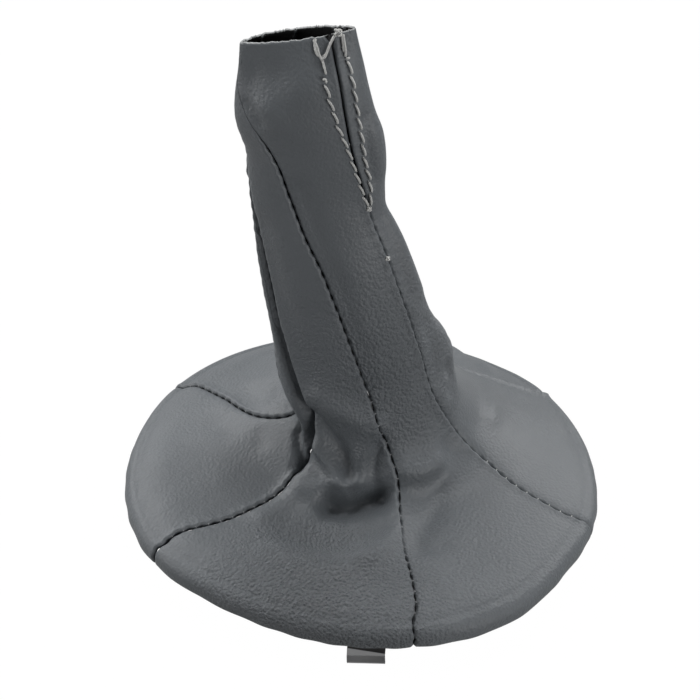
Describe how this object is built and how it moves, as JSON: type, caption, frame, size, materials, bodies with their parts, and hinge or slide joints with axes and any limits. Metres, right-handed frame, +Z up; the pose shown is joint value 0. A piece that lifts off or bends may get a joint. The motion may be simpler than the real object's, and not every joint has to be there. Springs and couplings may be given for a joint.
{
  "type": "gear lever gaiter",
  "caption": "Gear lever gaiter: sewn leatherette panels gathered into an upright tube for the lever, over a round snap-in frame.",
  "frame": {"origin": "under the middle of the round rim, on the plane of the clips' feet", "axes": "+Z up through the rim towards the lever; the front seam faces -Y; the tube leans to -X"},
  "size_m": [0.1513, 0.1507, 0.174],
  "materials": {
    "leatherette": "satin",
    "frame_plastic": "matte",
    "thread": "satin",
    "backing": "matte"
  },
  "bodies": {
    "root": {"base_frame": "frame_plastic", "panel_front_left": "leatherette", "panel_front_right": "leatherette", "panel_right": "leatherette", "panel_back_right": "leatherette", "panel_back_left": "leatherette", "panel_left": "leatherette"}
  },
  "joints": []
}
